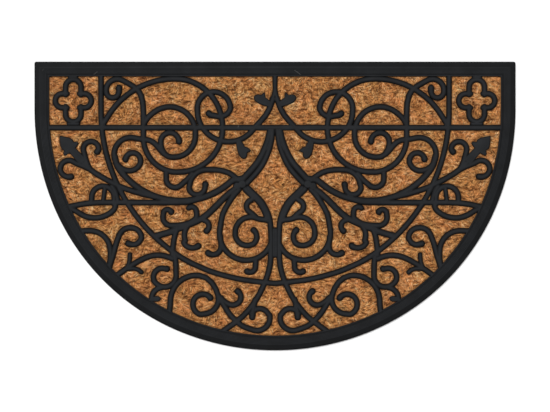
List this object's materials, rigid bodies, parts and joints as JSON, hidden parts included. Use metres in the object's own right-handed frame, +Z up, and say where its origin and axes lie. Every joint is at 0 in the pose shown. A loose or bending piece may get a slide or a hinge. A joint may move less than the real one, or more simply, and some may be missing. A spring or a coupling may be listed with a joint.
{
  "type": "half-round coir doormat",
  "caption": "Flat half-round doormat: a black rubber moulding with a plain rim and an openwork grille of scrolls over a tan coir panel.",
  "frame": {"origin": "on the floor, under the middle of the mat's bounding box", "axes": "+X along the straight edge, +Y from the round edge to the straight edge, +Z up out of the mat's top"},
  "size_m": [0.75, 0.45, 0.009],
  "materials": {
    "rubber": "matt black moulded rubber, slightly greyer on the crests of the strips",
    "coir": "tan coconut fibre, rough and matt, with light and dark brown flecks"
  },
  "bodies": {
    "root": {"rubber_moulding": "rubber", "coir_panel": "coir"}
  },
  "joints": []
}
